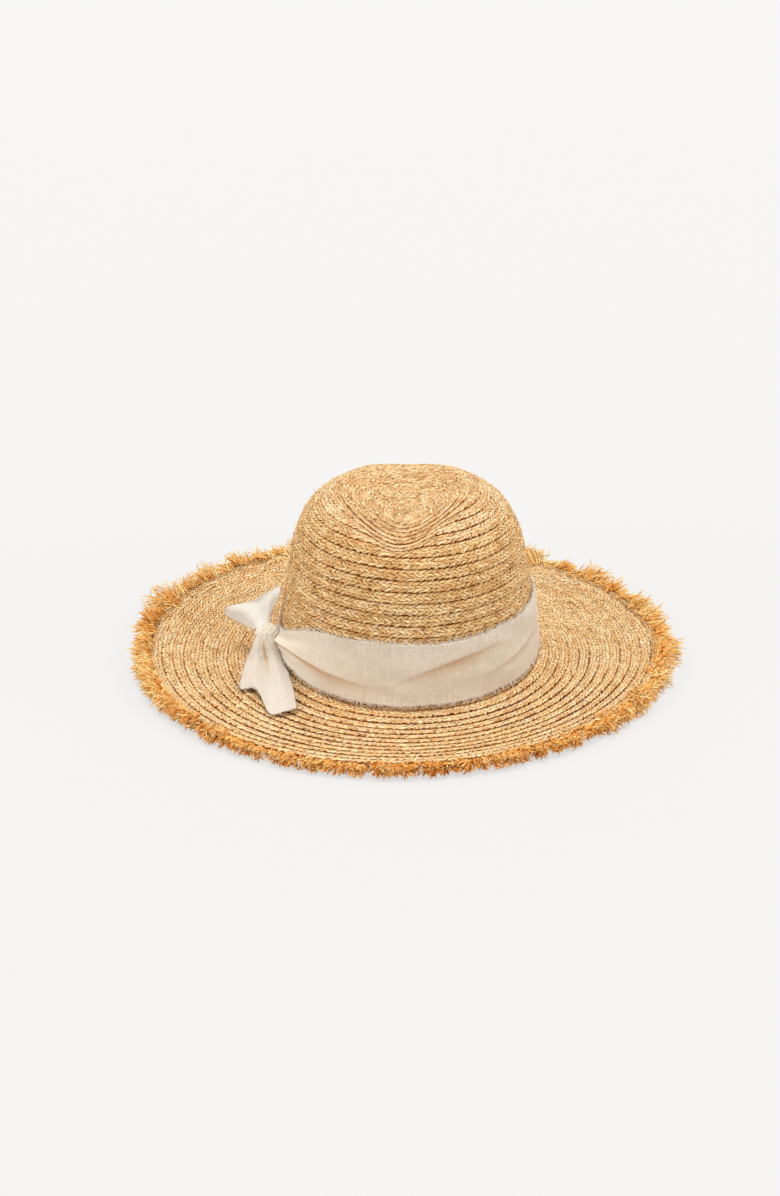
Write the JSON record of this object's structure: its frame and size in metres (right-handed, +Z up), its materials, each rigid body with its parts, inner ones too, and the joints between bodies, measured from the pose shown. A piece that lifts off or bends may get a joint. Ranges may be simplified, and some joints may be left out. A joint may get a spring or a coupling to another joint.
{
  "type": "straw sun hat",
  "caption": "Plaited straw sun hat with a pinched crown, a wide brim with a frayed raffia edge, and a linen scarf tied round the crown with a side knot.",
  "frame": {"origin": "middle of the hat's outline on the plane it rests on, under the crown", "axes": "+Z up from the table through the crown; -Y towards the front of the hat, where the crown is pinched; the scarf knot is on the -X side"},
  "size_m": [0.391, 0.3856, 0.1234],
  "materials": {
    "straw_crown": "plaited straw braid, golden tan, faint natural sheen, dark shadowed seams between the rows",
    "straw_brim": "plaited straw braid, slightly paler and finer than the crown",
    "raffia_fringe": "loose split raffia, warm orange gold, slightly glossy blades",
    "linen_scarf": "soft open-weave linen, oatmeal, matt, raw frayed edges",
    "linen_tails": "the same linen, lighter where it stands free of the crown, matt",
    "cotton_sweatband": "ribbed cotton tape, matt",
    "cotton_cord": "twisted cotton cord, matt",
    "label_cloth": "plain woven satin label, blank",
    "sewing_thread": "straw coloured sewing thread, matt"
  },
  "bodies": {
    "hat": {"crown": "straw_crown", "brim": "straw_brim", "brim_fringe": "raffia_fringe", "fringe_stitching": "sewing_thread", "sweatband": "cotton_sweatband", "sweatband_stitching": "sewing_thread", "drawcord": "cotton_cord", "drawcord_knot": "cotton_cord"},
    "band": {"hat_band": "linen_scarf", "band_knot": "linen_scarf"},
    "upper_tail": {"upper_tail": "linen_tails"},
    "lower_tail": {"lower_tail": "linen_tails"},
    "cord_end_left": {"cord_end_left": "cotton_cord"},
    "cord_end_right": {"cord_end_right": "cotton_cord"},
    "care_label": {"care_label": "label_cloth"}
  },
  "joints": [
    {"name": "band_lift", "type": "slide", "parent": "hat", "child": "band", "axis": [0, 0, 1], "range_m": [0, 0.13]},
    {"name": "upper_tail_fold", "type": "hinge", "parent": "band", "child": "upper_tail", "pos_m": [-0.0967, -0.02505, 0.0325], "axis": [0.7646, -0.2802, 0.5804], "range_deg": [0, 55]},
    {"name": "lower_tail_fold", "type": "hinge", "parent": "band", "child": "lower_tail", "pos_m": [-0.0965, -0.02905, 0.0152], "axis": [-0.9895, -0.07, -0.1261], "range_deg": [0, 50]},
    {"name": "cord_left_swing", "type": "hinge", "parent": "hat", "child": "cord_end_left", "pos_m": [0.002, 0.08543, 0.0325], "axis": [-1, 0, 0], "range_deg": [0, 70]},
    {"name": "cord_right_swing", "type": "hinge", "parent": "hat", "child": "cord_end_right", "pos_m": [0.002, 0.08543, 0.0325], "axis": [-1, 0, 0], "range_deg": [0, 70]},
    {"name": "label_flip", "type": "hinge", "parent": "hat", "child": "care_label", "pos_m": [-0.0377, 0.0787, 0.0286], "axis": [-0.863, -0.5051, 0], "range_deg": [0, 85]}
  ]
}
